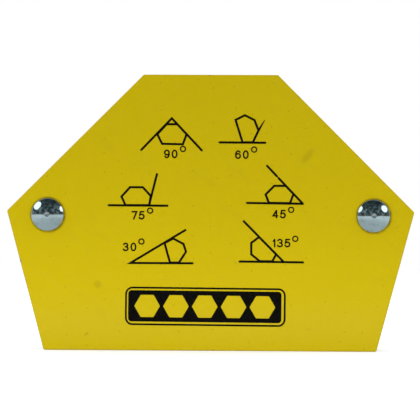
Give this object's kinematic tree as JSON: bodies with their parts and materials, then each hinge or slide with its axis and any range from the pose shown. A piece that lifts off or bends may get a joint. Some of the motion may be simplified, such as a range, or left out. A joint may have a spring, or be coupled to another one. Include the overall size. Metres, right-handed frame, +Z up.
{
  "type": "welding magnet holder",
  "caption": "Flat hexagonal magnet that holds steel parts at set angles for welding: riveted yellow steel pole plates over a ferrite core closed by aluminium bars.",
  "frame": {"origin": "middle of the bottom edge, halfway through the thickness", "axes": "+X along the width towards the right rivet seen from the printed front, +Y through the thickness from the front plate to the rear plate, +Z up, square to the bottom edge"},
  "size_m": [0.1098, 0.017, 0.0745],
  "materials": {
    "yellow_enamel": "satin enamel over sheet steel",
    "black_ink": "matt screen-printed ink on the front plate",
    "bar_aluminium": "mill finish with saw-cut ends",
    "ferrite": "sintered, ground on the two faces that meet the plates",
    "rivet_plating": "bright nickel plating",
    "bush_steel": "zinc plated"
  },
  "bodies": {
    "root": {"front_plate": "yellow_enamel", "rear_plate": "yellow_enamel", "bottom_spacer_bar": "bar_aluminium", "right_lower_spacer_bar": "bar_aluminium", "right_upper_spacer_bar": "bar_aluminium", "top_spacer_bar": "bar_aluminium", "left_upper_spacer_bar": "bar_aluminium", "left_lower_spacer_bar": "bar_aluminium", "lower_left_magnet": "ferrite", "lower_right_magnet": "ferrite", "middle_left_magnet": "ferrite", "middle_right_magnet": "ferrite", "upper_magnet": "ferrite", "left_rivet": "rivet_plating", "right_rivet": "rivet_plating", "left_rivet_bush": "bush_steel", "right_rivet_bush": "bush_steel"}
  },
  "joints": []
}
